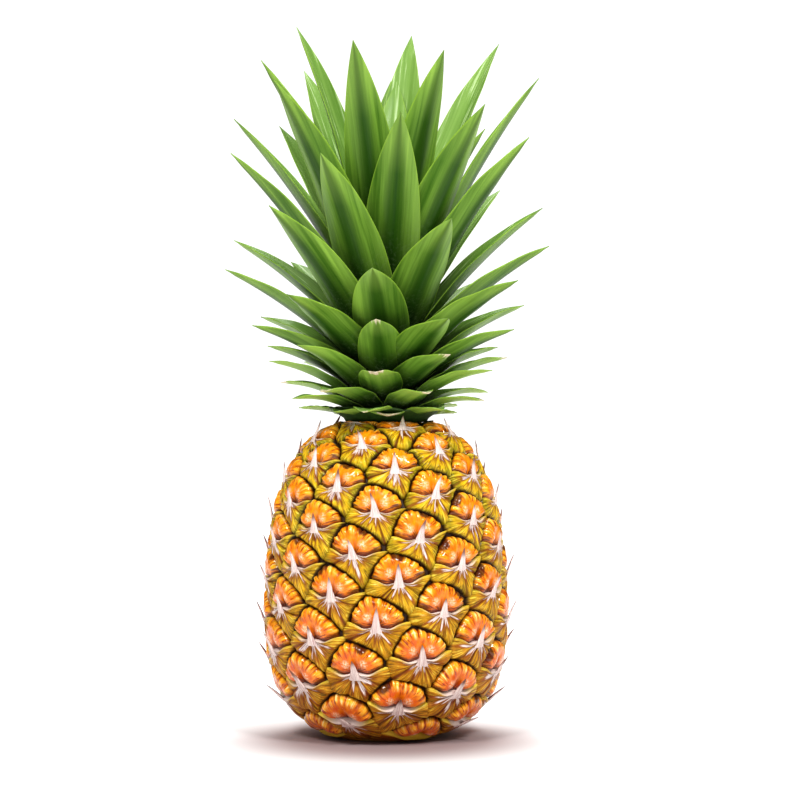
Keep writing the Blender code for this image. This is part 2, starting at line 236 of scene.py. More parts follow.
def eye_places(number):
    """Angle, arc length and size of the eyes of these numbers, and the share of the skin above
    them: a spiral near the golden angle, closer together towards the crown."""
    span = EYES_PER_AREA**2 + 4 * EYES_THINNING * (number - EYES_ABOVE_TOP)
    above = (EYES_PER_AREA - np.sqrt(np.maximum(span, 0))) / (-2 * EYES_THINNING)
    angle = FIRST_EYE_ANGLE + number * EYE_TURN
    lean = (EYES_LEAN - EYES_LEAN_LOSS * number) * np.sin(angle)
    arc = np.interp(-above, -SKIN_ABOVE, ARC) + lean
    cell = SKIN_AREA / (EYES_PER_AREA + 2 * EYES_THINNING * above)
    return angle, arc, np.sqrt(cell / FULL_CELL_AREA), above


EYE_NUMBERS = np.arange(FIRST_EYE, LAST_EYE + 1)
EYE_CHANCE = rng.random((len(EYE_NUMBERS), 4))
EYE_TWISTS = rng.normal(0, 0.05, len(EYE_NUMBERS))
# The last one is half under the crown, at the back
EYE_NUMBERS = np.append(EYE_NUMBERS, FIRST_EYE - 1)
EYE_CHANCE = np.concatenate([EYE_CHANCE, EYE_CHANCE[:1]])
EYE_TWISTS = np.append(EYE_TWISTS, 0)
EYE_COUNT = len(EYE_NUMBERS)
EYE_ANGLES, EYE_ARCS, EYE_SIZES = eye_places(EYE_NUMBERS)[:3]
EYE_RIPENESS = smooth(150 * MM, 15 * MM, np.interp(EYE_ARCS, ARC, HEIGHTS))


def cell_reach(eye, direction):
    """Distance from an eye's middle to the edge of its cell, halfway to its neighbours."""
    closeness = np.zeros_like(direction)
    for step in GOLDEN_ROWS:
        for other in (EYE_NUMBERS[eye] - step, EYE_NUMBERS[eye] + step):
            angle, arc, _, above = eye_places(other)
            if not 0 < above < 1:
                continue
            radius = np.interp((arc + EYE_ARCS[eye]) / 2, ARC, RADII)
            across = (angle - EYE_ANGLES[eye] + math.pi) % (2 * math.pi) - math.pi
            across, up = across * radius, arc - EYE_ARCS[eye]
            toward = across * np.cos(direction) + up * np.sin(direction)
            closeness += np.clip(2 * toward / (across**2 + up**2), 0, None) ** 18
    return np.maximum(closeness, 1) ** (-1 / 18)


def cap_reach(eye, direction):
    """Distance from an eye's middle to the rim of its cap: an oval set above the middle, pressed
    in a little where its neighbours grew against it."""
    size, chance = EYE_SIZES[eye], EYE_CHANCE[eye]
    wide = CAP_HALF_WIDTH * size * (0.92 + 0.14 * chance[2])
    high = CAP_HALF_HEIGHT * size * (0.9 + 0.18 * chance[3])
    set_up = CAP_RAISED * size / high
    across, up = np.cos(direction) / wide, np.sin(direction) / high
    square = across**2 + up**2
    oval = (up * set_up + np.sqrt((up * set_up) ** 2 + square * (1 - set_up**2))) / square
    return (oval**-6 + (1.15 * cell_reach(eye, direction)) ** -6) ** (-1 / 6)


def lip_height(eye, across):
    """How far above the eye's middle the bract's lip runs, beside the middle: it dips, then
    rises into the wings."""
    size = EYE_SIZES[eye]
    beside = (np.abs(across) / (size * MM) - LIP_DIP_ASIDE) / LIP_DIP_SIZE
    dip = np.exp(-(beside**2)) * LIP_DIP * size
    return np.abs(across) * math.tan(WING_RISE) - dip


def eye_points(eye, across, up, level):
    """Places on the fruit of points of one eye. A level of 0 is the bottom of the creases and 1
    the barrel's full size. The relief fades out under the base and the crown."""
    twist = EYE_TWISTS[eye]
    arc = EYE_ARCS[eye] + up + across * twist
    turned = across - up * twist
    angle = EYE_ANGLES[eye] + turned / np.interp(np.clip(arc, BASE_ARC, NECK_ARC), ARC, RADII)
    arc = np.clip(arc, BASE_ARC - 1 * MM, NECK_ARC)
    ends = smooth(BASE_ARC - 4 * MM, BASE_ARC + 5 * MM, arc)
    points = on_barrel(angle, arc, (level - 1) * RELIEF_DEPTH * ends)
    points[..., 2] = np.maximum(points[..., 2], 0.15 * MM)
    return points


def ridges(eye, direction, coarse, fine, seed):
    """Uneven waves round an eye, from minus 1 to 1, of about these numbers to a full turn."""
    chance = np.random.default_rng(seed * 1000 + eye)
    total = 0
    for count in np.linspace(coarse, fine, 5):
        total = total + np.cos(direction * count * chance.uniform(0.9, 1.1)
                               + chance.uniform(0, 2 * math.pi))
    return total / 3


TIMES, TIMES_PLUS = {"operation": "MULTIPLY"}, {"operation": "MULTIPLY_ADD"}
CLAMPED, LENGTH = {"use_clamp": True}, {"operation": "LENGTH"}
# How fast the furrows change round an eye and out from it, and the step in a pattern from eye to
# eye, which keeps them from being alike
FURROW_PACE, NEXT_EYE = (7.0, 1.6, 0.0), (0.0, 0.0, 90.0)

# Ripe rind: waxy fruit skin over juicy flesh, with a natural gloss. Orange, yellow on the crests of
# the rim with a painted highlight on them, red-brown in the furrows, red-brown painted shade
# between the scallops, in the pocket above the bract and at the very edge, and pale pink where fine
# hairs dry beside the spine, partly a painted highlight on the cheeks. Some caps have a brown
# bruise at the rim.
ripe_rind, tree, shader = start_material("ripe_rind", 0.34, IOR=1.45, Specular_IOR_Level=0.2,
                                         Coat_Weight=0.8, Coat_Roughness=0.08)
place = add(tree, "ShaderNodeAttribute", {"attribute_name": "eye_place"}, {}).outputs["Vector"]
polar = add(tree, "ShaderNodeAttribute", {"attribute_name": "eye_polar"}, {}).outputs["Vector"]
form = add(tree, "ShaderNodeAttribute", {"attribute_name": "eye_form"}, {}).outputs["Vector"]
aside_here, up_here, _ = add(tree, "ShaderNodeSeparateXYZ", {}, {0: place}).outputs
_, out_here, ripe_here = add(tree, "ShaderNodeSeparateXYZ", {}, {0: polar}).outputs
lobe_here, lip_here, bruise_here = add(tree, "ShaderNodeSeparateXYZ", {}, {0: form}).outputs
# Furrows run out from the spine about every 12 degrees, and blotches are 3 to 4 mm across
along_ray = add(tree, "ShaderNodeVectorMath", TIMES, {0: polar, 1: FURROW_PACE})
apart = add(tree, "ShaderNodeVectorMath", TIMES_PLUS, {0: place, 1: NEXT_EYE, 2: along_ray})
furrows = add(tree, "ShaderNodeTexNoise", {}, {"Vector": apart, "Scale": 1.4,
                                               "Detail": 3.0, "Roughness": 0.6})
blotches = add(tree, "ShaderNodeTexNoise", {}, {"Vector": place, "Scale": 0.28, "Detail": 3.0})
# The flesh is redder where it is riper, low on the fruit, and yellow at the rim
ripe = add(tree, "ShaderNodeMath", TIMES_PLUS, {0: blotches, 1: 1.5, 2: -0.68})
ripe = add(tree, "ShaderNodeMath", {**TIMES_PLUS, **CLAMPED}, {0: ripe_here, 1: 0.6, 2: ripe})
flesh = add(tree, "ShaderNodeMix", COLOUR,
            {SHARE: ripe, UNDER: linear("#ff9a04"), OVER: linear("#d44c02")})
at_rim = add(tree, "ShaderNodeMapRange", SOFT_STEP, {0: out_here, START: 0.6, END: 0.88})
rim_part = add(tree, "ShaderNodeMapRange", {}, {0: furrows, START: 0.36, END: 0.58})
rim_part = add(tree, "ShaderNodeMath", TIMES, {0: at_rim, 1: rim_part})
rim_part = add(tree, "ShaderNodeMath", TIMES, {0: rim_part, 1: lobe_here})
rimmed = add(tree, "ShaderNodeMix", COLOUR,
             {SHARE: rim_part, UNDER: flesh, OVER: linear("#ffc52a")})
# Towards the rim the furrows are red-brown, and the crests between them are pale with a painted
# highlight
furrow = add(tree, "ShaderNodeMapRange", SOFT_STEP,
             {0: furrows, START: 0.46, END: 0.34, MOST: 0.85})
outward = add(tree, "ShaderNodeMapRange", SOFT_STEP,
              {0: out_here, START: 0.42, END: 0.82, LEAST: 0.12, MOST: 1.0})
furrow = add(tree, "ShaderNodeMath", TIMES, {0: furrow, 1: outward})
furrowed = add(tree, "ShaderNodeMix", COLOUR,
               {SHARE: furrow, UNDER: rimmed, OVER: linear("#842002")})
# Painted highlight: a pale yellow-white glint on the crests of the rim
painted_crest_highlight = add(tree, "ShaderNodeMapRange", SOFT_STEP, {0: furrows, START: 0.54, END: 0.68, MOST: 0.85})
painted_crest_highlight = add(tree, "ShaderNodeMath", TIMES, {0: painted_crest_highlight, 1: rim_part})
furrowed = add(tree, "ShaderNodeMix", COLOUR,
               {SHARE: painted_crest_highlight, UNDER: furrowed, OVER: linear("#fff0b8")})
# Between the scallops of the rim it is red-brown: painted shade in the notches
painted_notch_shade = add(tree, "ShaderNodeMapRange", SOFT_STEP,
                    {0: lobe_here, START: 0.5, END: 0.0, MOST: 0.7})
painted_notch_shade = add(tree, "ShaderNodeMath", TIMES, {0: painted_notch_shade, 1: at_rim})
lobed = add(tree, "ShaderNodeMix", COLOUR,
            {SHARE: painted_notch_shade, UNDER: furrowed, OVER: linear("#7a2404")})
# The cheeks are pale, one on each side of the spine, 4.3 mm out and 4.7 mm up: partly dried hairs
# and partly a painted highlight on their domes
beside = add(tree, "ShaderNodeMath", {"operation": "ABSOLUTE"}, {0: aside_here})
cheek_across = add(tree, "ShaderNodeMath", TIMES_PLUS, {0: beside, 1: 0.36, 2: -1.55})
cheek_up = add(tree, "ShaderNodeMath", TIMES_PLUS, {0: up_here, 1: 0.36, 2: -1.7})
pale_cheek_and_highlight = add(tree, "ShaderNodeCombineXYZ", {}, {0: cheek_across, 1: cheek_up})
pale_cheek_and_highlight = add(tree, "ShaderNodeVectorMath", LENGTH, {0: pale_cheek_and_highlight})
pale_cheek_and_highlight = add(tree, "ShaderNodeMapRange", SOFT_STEP, {0: pale_cheek_and_highlight, START: 1.15, END: 0.2})
fuzz = add(tree, "ShaderNodeTexNoise", {}, {"Vector": place, "Scale": 1.1, "Detail": 4.0,
                                            "Roughness": 0.7})
fuzz = add(tree, "ShaderNodeMapRange", {}, {0: fuzz, START: 0.42, END: 0.6})
pale_cheek_and_highlight = add(tree, "ShaderNodeMath", TIMES, {0: pale_cheek_and_highlight, 1: fuzz})
cheeked = add(tree, "ShaderNodeMix", COLOUR, {SHARE: pale_cheek_and_highlight, UNDER: lobed, OVER: linear("#fbdcbc")})
# The pocket above the bract's lip and the very edge are dark brown painted shade, and the bruises
# are brown
ragged = add(tree, "ShaderNodeMath", TIMES_PLUS, {0: furrows, 1: -9.0, 2: lip_here})
painted_pocket_shade = add(tree, "ShaderNodeMapRange", SOFT_STEP, {0: ragged, START: -1.0, END: -3.6, MOST: 0.95})
pocketed = add(tree, "ShaderNodeMix", COLOUR,
               {SHARE: painted_pocket_shade, UNDER: cheeked, OVER: linear("#5a1604")})
bruise = add(tree, "ShaderNodeMath", TIMES_PLUS, {0: furrows, 1: 0.8, 2: bruise_here})
bruise = add(tree, "ShaderNodeMapRange", SOFT_STEP, {0: bruise, START: 0.75, END: 1.05, MOST: 0.9})
bruised = add(tree, "ShaderNodeMix", COLOUR,
              {SHARE: bruise, UNDER: pocketed, OVER: linear("#4e1606")})
# Painted shade: the very edge, where the cap goes down into the crease
edge = add(tree, "ShaderNodeMapRange", SOFT_STEP, {0: out_here, START: 0.93, END: 1.0})
edged = add(tree, "ShaderNodeMix", COLOUR, {SHARE: edge, UNDER: bruised, OVER: linear("#321405")})
# The furrows stand out most at the rim, over fine pores
pores = add(tree, "ShaderNodeTexNoise", {}, {"Vector": place, "Scale": 2.2, "Detail": 3.0})
relief = add(tree, "ShaderNodeMath", TIMES, {0: furrows, 1: outward})
relief = add(tree, "ShaderNodeMath", TIMES_PLUS, {0: pores, 1: 0.2, 2: relief})
bump = add(tree, "ShaderNodeBump", {}, {"Height": relief, "Strength": 0.9, "Distance": 1.3 * MM})
feed(tree, shader.inputs["Base Color"], edged)
feed(tree, shader.inputs["Normal"], bump)

direction = np.linspace(-CAP_BELOW, math.pi + CAP_BELOW, CAP_SPOKES)[None, :]
out = np.linspace(0, 1, CAP_RINGS) ** 0.8
out = np.concatenate([out[:-1], [0.985, 1.02]])[:, None]
all_points, all_places, all_polars, all_forms = [], [], [], []
for eye in range(EYE_COUNT):
    chance = np.random.default_rng(CAP_SEED + eye)
    waves = ridges(eye, direction, *RIDGES, seed=1)
    lobes = np.abs(np.cos(SCALLOPS * direction + 1.3 * ridges(eye, direction, 2, 5, seed=2)))
    reach = cap_reach(eye, direction) * (0.99 + 0.015 * waves + 0.035 * lobes)
    across = out * reach * np.cos(direction)
    up = out * reach * np.sin(direction)
    over_lip = up - lip_height(eye, across)
    shape = np.interp(out, CAP_OUT, CAP_HEIGHTS)
    # A cleft up the middle, notches between the scallops, and a cheek on each side of the spine
    middle = np.exp(-(((direction - math.pi / 2) / 0.24) ** 2)) * smooth(0.8, 0.2, out)
    shape = shape - 0.28 * middle - 0.15 * (1 - lobes) * smooth(0.6, 0.92, out)
    cheeks = np.hypot(np.abs(across) - CHEEK_ASIDE, up - CHEEK_UP) / MM
    shape = shape + 0.16 * np.exp(-((cheeks / CHEEK_SIZE) ** 2))
    shape = shape + 0.07 * waves * smooth(0.45, 0.8, out) * smooth(1.02, 0.9, out)
    # It sinks into a pocket above the bract's lip, and some have a bruise at the rim
    shape = shape * (0.05 + 0.95 * smooth(-1.2 * MM, 3.4 * MM, over_lip))
    toward = chance.uniform(0.6, 2.5)
    bruise = np.exp(-(((direction - toward) / 0.36) ** 2) - ((out - 0.94) / 0.25) ** 2)
    bruise = bruise * (chance.random() < BRUISED_SHARE) * chance.uniform(0.6, 1)
    shape = shape - 0.25 * bruise * smooth(1.0, 0.9, out)
    all_points.append(eye_points(eye, across, up, shape).reshape(-1, 3))
    here = np.full_like(across, EYE_CHANCE[eye, 0])
    all_places.append(np.stack([across / MM, up / MM, here], -1).reshape(-1, 3))
    polar = [direction + 0 * out, out + 0 * direction, np.full_like(across, EYE_RIPENESS[eye])]
    all_polars.append(np.stack(polar, -1).reshape(-1, 3))
    all_forms.append(np.stack([lobes + 0 * out, over_lip / MM, bruise], -1).reshape(-1, 3))
one = grid_faces(len(out), CAP_SPOKES)
faces = np.concatenate([one + eye * len(out) * CAP_SPOKES for eye in range(EYE_COUNT)])
make_piece("eye_caps", np.concatenate(all_points), faces,
           {"eye_place": np.concatenate(all_places), "eye_polar": np.concatenate(all_polars),
            "eye_form": np.concatenate(all_forms)},
           ripe_rind, "fruit")

# ---- The bracts of the eyes ----
# The lower half of each eye: the base of the leaf under the flower, turned fleshy. It fans out
# from under the spine to a blunt tail between the two caps below, and sends a wing to each side.
# Its upper lip stands free over the cap.

BRACT_SPOKES, BRACT_RINGS = 76, 12
FOLDS = math.radians(24)
LOWEST_STAR, BRACT_SEED = 9 * MM, 2000
# How high a bract stands, from its middle at 0 out to its edge at 1, in shares of the relief
BRACT_OUT = [0, 0.15, 0.5, 0.8, 0.92, 1.0, 1.1]
BRACT_HEIGHTS = [1.0, 0.97, 0.86, 0.72, 0.54, 0.22, -0.3]
FLOWER_MARK_DOWN, FLOWER_MARK_SIZE, FLOWER_MARK_SHARE = 5.4 * MM, 2.3 * MM, 0.45

PLUS, LESS = {"operation": "ADD"}, {"operation": "SUBTRACT"}
# How fast the veins and the rays of the dry star change round an eye and out from it
VEIN_PACE, RAY_PACE, NEXT_STAR = (12.0, 1.2, 0.0), (4.2, 0.5, 0.0), (0.0, 0.0, 60.0)

# Bract rind: leathery and less waxy than the caps. Yellow turning olive, with dark hairs along its
# veins deepened by painted shade in their grooves, a painted highlight on the crests between them,
# a bright lip partly painted as a highlight, a painted dark shade at its edge by the creases and
# the caps, red-brown folds, and a dry papery star of pink and white below the spine.
bract_rind, tree, shader = start_material("bract_rind", 0.45, IOR=1.45, Specular_IOR_Level=0.2,
                                          Coat_Weight=0.2, Coat_Roughness=0.2)
place = add(tree, "ShaderNodeAttribute", {"attribute_name": "eye_place"}, {}).outputs["Vector"]
polar = add(tree, "ShaderNodeAttribute", {"attribute_name": "eye_polar"}, {}).outputs["Vector"]
form = add(tree, "ShaderNodeAttribute", {"attribute_name": "eye_fold"}, {}).outputs["Vector"]
_, out_here, ripe_here = add(tree, "ShaderNodeSeparateXYZ", {}, {0: polar}).outputs
fold_here, lip_here, star_here = add(tree, "ShaderNodeSeparateXYZ", {}, {0: form}).outputs
along_ray = add(tree, "ShaderNodeVectorMath", TIMES, {0: polar, 1: VEIN_PACE})
apart = add(tree, "ShaderNodeVectorMath", TIMES_PLUS, {0: place, 1: NEXT_EYE, 2: along_ray})
veins = add(tree, "ShaderNodeTexNoise", {}, {"Vector": apart, "Scale": 1.6,
                                             "Detail": 4.0, "Roughness": 0.65})
patches = add(tree, "ShaderNodeTexNoise", {}, {"Vector": place, "Scale": 0.16, "Detail": 2.0})
# Yellow near the spine, olive further out, and warmer low on the fruit where it is riper
greener = add(tree, "ShaderNodeMath", TIMES_PLUS, {0: out_here, 1: 0.55, 2: patches})
greener = add(tree, "ShaderNodeMapRange", SOFT_STEP,
              {0: greener, START: 0.7, END: 1.15, MOST: 0.95})
ground = add(tree, "ShaderNodeMix", COLOUR,
             {SHARE: greener, UNDER: linear("#f6c51a"), OVER: linear("#968f0a")})
warm = add(tree, "ShaderNodeMath", TIMES, {0: ripe_here, 1: 0.75})
ground = add(tree, "ShaderNodeMix", COLOUR, {SHARE: warm, UNDER: ground, OVER: linear("#be6c16")})
# Veins have dark hairs, deepened by painted shade in the grooves, between crests with a painted
# highlight, about 6 degrees apart
vein = add(tree, "ShaderNodeMapRange", SOFT_STEP, {0: veins, START: 0.5, END: 0.36, MOST: 0.8})
veined = add(tree, "ShaderNodeMix", COLOUR, {SHARE: vein, UNDER: ground, OVER: linear("#5c4803")})
# Painted highlight: bright yellow on the crests of the veins
lit = add(tree, "ShaderNodeMapRange", SOFT_STEP, {0: veins, START: 0.53, END: 0.66, MOST: 0.8})
veined = add(tree, "ShaderNodeMix", COLOUR, {SHARE: lit, UNDER: veined, OVER: linear("#fbe356")})
# Folds crack red-brown
wobble = add(tree, "ShaderNodeMath", TIMES_PLUS, {0: veins, 1: 1.2, 2: -0.55})
crack = add(tree, "ShaderNodeMath", PLUS, {0: fold_here, 1: wobble})
crack = add(tree, "ShaderNodeMapRange", SOFT_STEP, {0: crack, START: 0.45, END: 0.95, MOST: 0.9})
cracked = add(tree, "ShaderNodeMix", COLOUR, {SHARE: crack, UNDER: veined, OVER: linear("#642407")})
# The dry star: ragged paper rays from the spine, each with a brown seam along it
star_ray = add(tree, "ShaderNodeVectorMath", TIMES, {0: polar, 1: RAY_PACE})
star_ray = add(tree, "ShaderNodeVectorMath", TIMES_PLUS, {0: place, 1: NEXT_STAR, 2: star_ray})
rays = add(tree, "ShaderNodeTexNoise", {}, {"Vector": star_ray, "Scale": 1.0,
                                            "Detail": 3.0, "Roughness": 0.55})
star = add(tree, "ShaderNodeMath", TIMES_PLUS, {0: rays, 1: 2.3, 2: -0.9})
star = add(tree, "ShaderNodeMath", LESS, {0: star, 1: out_here})
husk = add(tree, "ShaderNodeMapRange", SOFT_STEP, {0: star, START: -0.5, END: -0.08, MOST: 0.8})
husked = add(tree, "ShaderNodeMix", COLOUR, {SHARE: husk, UNDER: cracked, OVER: linear("#8c3f10")})
star = add(tree, "ShaderNodeMapRange", SOFT_STEP, {0: star, START: -0.1, END: 0.06, MOST: 0.95})
papery = add(tree, "ShaderNodeMath", {**TIMES, **CLAMPED}, {0: star_here, 1: 4.0})
star = add(tree, "ShaderNodeMath", TIMES, {0: star, 1: papery})
paper = add(tree, "ShaderNodeMix", COLOUR,
            {SHARE: vein, UNDER: linear("#f4e6e0"), OVER: linear("#8a4f50")})
starred = add(tree, "ShaderNodeMix", COLOUR, {SHARE: star, UNDER: husked, OVER: paper})
# The lip is bright yellow, partly its own colour and partly a painted highlight on the raised lip,
# and papery near the spine
lip = add(tree, "ShaderNodeMath", TIMES, {0: lip_here, 1: star_here})
bright_lip_and_highlight = add(tree, "ShaderNodeMath", TIMES, {0: lip_here, 1: 0.6})
lipped = add(tree, "ShaderNodeMix", COLOUR,
             {SHARE: bright_lip_and_highlight, UNDER: starred, OVER: linear("#f7dc4e")})
lipped = add(tree, "ShaderNodeMix", COLOUR, {SHARE: lip, UNDER: lipped, OVER: linear("#ead6cc")})
# Painted shade: the edge is dark brown where the bract dips into the creases and beside the rims of
# the caps
edge = add(tree, "ShaderNodeMapRange", SOFT_STEP, {0: out_here, START: 0.92, END: 1.04})
edged = add(tree, "ShaderNodeMix", COLOUR, {SHARE: edge, UNDER: lipped, OVER: linear("#2b1505")})
bump = add(tree, "ShaderNodeBump", {}, {"Height": veins, "Strength": 0.85, "Distance": 1.2 * MM})
feed(tree, shader.inputs["Base Color"], edged)
feed(tree, shader.inputs["Normal"], bump)


def near_caps(eye, across, up):
    """How close points of one eye are to the rims of the caps round it: 1 at a rim, 0 from 2 mm."""
    closest = np.zeros_like(across)
    arc = EYE_ARCS[eye] + up
    radius = np.interp(np.clip(arc, BASE_ARC, NECK_ARC), ARC, RADII)
    for step in GOLDEN_ROWS[:4]:
        for other in (eye - step, eye + step):
            if not 0 <= other < EYE_COUNT:
                continue
            turn = EYE_ANGLES[eye] - EYE_ANGLES[other]
            turn = (turn + math.pi) % (2 * math.pi) - math.pi
            aside, above = across + turn * radius, arc - EYE_ARCS[other]
            direction = np.arctan2(above, aside)
            beyond = np.hypot(aside, above) - cap_reach(other, direction)
            here = smooth(2.2 * MM, 0.3 * MM, beyond) * (above > lip_height(other, aside) - 1 * MM)
            closest = np.maximum(closest, here)
    return closest


# The first and last spokes drop from the lip into the crease, as a wall
all_points, all_places, all_polars, all_folds = [], [], [], []
direction = np.linspace(-math.pi - WING_RISE, WING_RISE, BRACT_SPOKES)
direction = np.concatenate([[direction[0]], direction, [direction[-1]]])[None, :]
wall = np.zeros(direction.shape)
wall[0, 0] = wall[0, -1] = 1
out = np.concatenate([np.linspace(0, 1, BRACT_RINGS) ** 0.9, [1.1]])[:, None]
for eye in range(EYE_COUNT):
    size = EYE_SIZES[eye]
    chance = np.random.default_rng(BRACT_SEED + eye)
    reach = np.minimum(cell_reach(eye, direction) * 1.05, 22 * MM * size)
    from_down = direction + math.pi / 2
    from_lip = math.pi / 2 + WING_RISE - np.abs(from_down)
    across = out * reach * np.cos(direction)
    up = out * reach * np.sin(direction)
    straight = np.abs(across) * math.tan(WING_RISE)
    up = up + (lip_height(eye, across) - straight) * smooth(0.7, 0, from_lip)
    level = np.interp(out, BRACT_OUT, BRACT_HEIGHTS)
    level = level + 0.16 * smooth(0.16, 0.0, from_lip) * smooth(0.85, 0.3, out)
    # Folds run down beside the spine
    marks = np.zeros(np.broadcast(out, direction).shape)
    for middle in (-FOLDS, FOLDS, -2.6 * FOLDS, 2.6 * FOLDS):
        middle = middle + chance.normal(0, 0.13)
        mark = np.exp(-(((from_down - middle) / 0.1) ** 2)) * smooth(0.1, 0.35, out)
        marks = np.maximum(marks, mark * chance.uniform(0.5, 1))
    # Below some spines is the hollow mark of the dried flower
    hollow = np.exp(-((across / FLOWER_MARK_SIZE) ** 2)
                    - ((up + FLOWER_MARK_DOWN) / FLOWER_MARK_SIZE) ** 2)
    flowered = chance.random() < FLOWER_MARK_SHARE
    marks = np.maximum(marks, hollow * flowered * chance.uniform(0.7, 1.2))
    # The rims of the caps round it press it down, and a dark shade is painted on it along them
    rim = near_caps(eye, across, up)
    waves = ridges(eye, direction, 9, 20, seed=3)
    level = level - 0.3 * marks + 0.08 * waves * smooth(0.2, 0.6, out) - 0.35 * rim
    level = level * (1 - wall) - 0.1 * wall
    all_points.append(eye_points(eye, across, up, level).reshape(-1, 3))
    here = np.full_like(across, EYE_CHANCE[eye, 1])
    all_places.append(np.stack([across / MM, up / MM, here], -1).reshape(-1, 3))
    # Next to the rims of the caps the out value is raised, so that the dark edge colour paints
    # shade there
    out_and_rim_shade = np.where(rim > 0.05, np.maximum(out, 0.9 + 0.14 * rim), out)
    polar = [direction + 0 * out, out_and_rim_shade + 0 * direction, np.full_like(across, EYE_RIPENESS[eye])]
    all_polars.append(np.stack(polar, -1).reshape(-1, 3))
    at_lip = smooth(0.09, 0.0, from_lip) + 0 * out
    high = np.interp(EYE_ARCS[eye], ARC, HEIGHTS) > LOWEST_STAR
    near = high * smooth(0.8, 0.25, out) + 0 * direction
    all_folds.append(np.stack([marks, at_lip, near], -1).reshape(-1, 3))
columns = direction.shape[1]
one = grid_faces(len(out), columns)
faces = np.concatenate([one + eye * len(out) * columns for eye in range(EYE_COUNT)])
make_piece("eye_bracts", np.concatenate(all_points), faces,
           {"eye_place": np.concatenate(all_places), "eye_polar": np.concatenate(all_polars),
            "eye_fold": np.concatenate(all_folds)}, bract_rind, "fruit")

# ---- The spines ----
# The point of each bract, dried to stiff paper. It rises from the middle of the eye, leans out
# over the cap and ends in a brown tip that is often bent aside.

SPINE_RISE, SPINE_STAND = 8.2 * MM, 3.7 * MM
SPINE_ROWS, SPINE_SIDES, SPINE_SEED = 12, 10, 4000
SPINE_FOOT, SPINE_SUNK = 3.2 * MM, 0.75 * MM
SPINE_ALONG, SPINE_HALF_WIDTHS = [0, 0.18, 0.4, 0.75, 1], [4.0, 2.7, 1.8, 1.0, 0.12]
LOWEST_SPINE, HIGHEST_SPINE = 6 * MM, 158 * MM

# Dry bract paper: thin, matt and ribbed lengthwise like the husk of an onion, pink-white with
# purple-grey ribs and a browned tip.
dry_paper, tree, shader = start_material("dry_bract_paper", 0.7)
place = add(tree, "ShaderNodeAttribute", {"attribute_name": "spine_place"}, {}).outputs["Vector"]
_, along_here, chance_here = add(tree, "ShaderNodeSeparateXYZ", {}, {0: place}).outputs
# Ribs run lengthwise, about 0.2 mm apart
ribs = add(tree, "ShaderNodeVectorMath", TIMES, {0: place, 1: (7.0, 1.0, 60.0)})
ribs = add(tree, "ShaderNodeTexNoise", {}, {"Vector": ribs, "Scale": 1.3,
                                            "Detail": 3.0, "Roughness": 0.6})
rib = add(tree, "ShaderNodeMapRange", SOFT_STEP, {0: ribs, START: 0.56, END: 0.36, MOST: 0.75})
paper = add(tree, "ShaderNodeMix", COLOUR,
            {SHARE: rib, UNDER: linear("#f6e6de"), OVER: linear("#a06a6c")})
# It is brown towards the tip, on some more than on others, and its back, on the side of the cap, is
# brown with painted shade
to_tip = add(tree, "ShaderNodeMath", TIMES_PLUS, {0: ribs, 1: 0.4, 2: along_here})
to_tip = add(tree, "ShaderNodeMath", TIMES_PLUS, {0: chance_here, 1: 0.3, 2: to_tip})
to_tip = add(tree, "ShaderNodeMapRange", SOFT_STEP, {0: to_tip, START: 0.95, END: 1.3, MOST: 0.9})
tipped = add(tree, "ShaderNodeMix", COLOUR, {SHARE: to_tip, UNDER: paper, OVER: linear("#6e3a1c")})
front_here = add(tree, "ShaderNodeAttribute", {"attribute_name": "spine_front"}, {}).outputs["Fac"]
painted_back_shade = add(tree, "ShaderNodeMath", TIMES_PLUS, {0: ribs, 1: 0.5, 2: front_here})
painted_back_shade = add(tree, "ShaderNodeMapRange", SOFT_STEP, {0: painted_back_shade, START: 0.6, END: 0.1, MOST: 0.9})
tipped = add(tree, "ShaderNodeMix", COLOUR, {SHARE: painted_back_shade, UNDER: tipped, OVER: linear("#6e2f14")})
bump = add(tree, "ShaderNodeBump", {}, {"Height": ribs, "Strength": 0.6, "Distance": 0.5 * MM})
feed(tree, shader.inputs["Base Color"], tipped)
feed(tree, shader.inputs["Normal"], bump)

along = np.linspace(0, 1, SPINE_ROWS)[:, None]
turn = np.linspace(0, 2 * math.pi, SPINE_SIDES, endpoint=False)[None, :]
all_points, all_places, all_fronts = [], [], []
for eye in range(EYE_COUNT):
    if not LOWEST_SPINE < np.interp(EYE_ARCS[eye], ARC, HEIGHTS) < HIGHEST_SPINE:
        continue
    size = EYE_SIZES[eye]
    chance = np.random.default_rng(SPINE_SEED + eye)
    longer, aside = chance.uniform(0.85, 1.25), chance.normal(0, 1.8) * MM
    half = np.interp(along, SPINE_ALONG, SPINE_HALF_WIDTHS) * MM * size
    keel = half * np.interp(along, [0, 0.3, 1], [0.1, 0.5, 0.7])
    front = np.where(np.sin(turn) > 0, 1, 0.35) * np.sin(turn)
    across = half * np.cos(turn) + aside * along**2
    up = (-SPINE_FOOT + (SPINE_RISE * longer + SPINE_FOOT) * along) * size
    stand = -SPINE_SUNK + (SPINE_STAND * longer + SPINE_SUNK) * along**1.35 + keel * front
    angle = EYE_ANGLES[eye] + across / np.interp(EYE_ARCS[eye], ARC, RADII)
    foot = on_barrel(angle, np.full_like(angle, EYE_ARCS[eye]), stand)
    upward = on_barrel(angle, np.full_like(angle, EYE_ARCS[eye] + MM), stand) - foot
    points = foot + upward / np.linalg.norm(upward, axis=-1, keepdims=True) * up[..., None]
    all_points.append(points.reshape(-1, 3))
    all_places.append(np.stack([half * np.cos(turn) / MM, along + 0 * turn,
                                np.full_like(across, chance.random())], -1).reshape(-1, 3))
    all_fronts.append(np.stack([np.sin(turn) + 0 * along] * 3, -1).reshape(-1, 3))
one = grid_faces(SPINE_ROWS, SPINE_SIDES, closed=True)
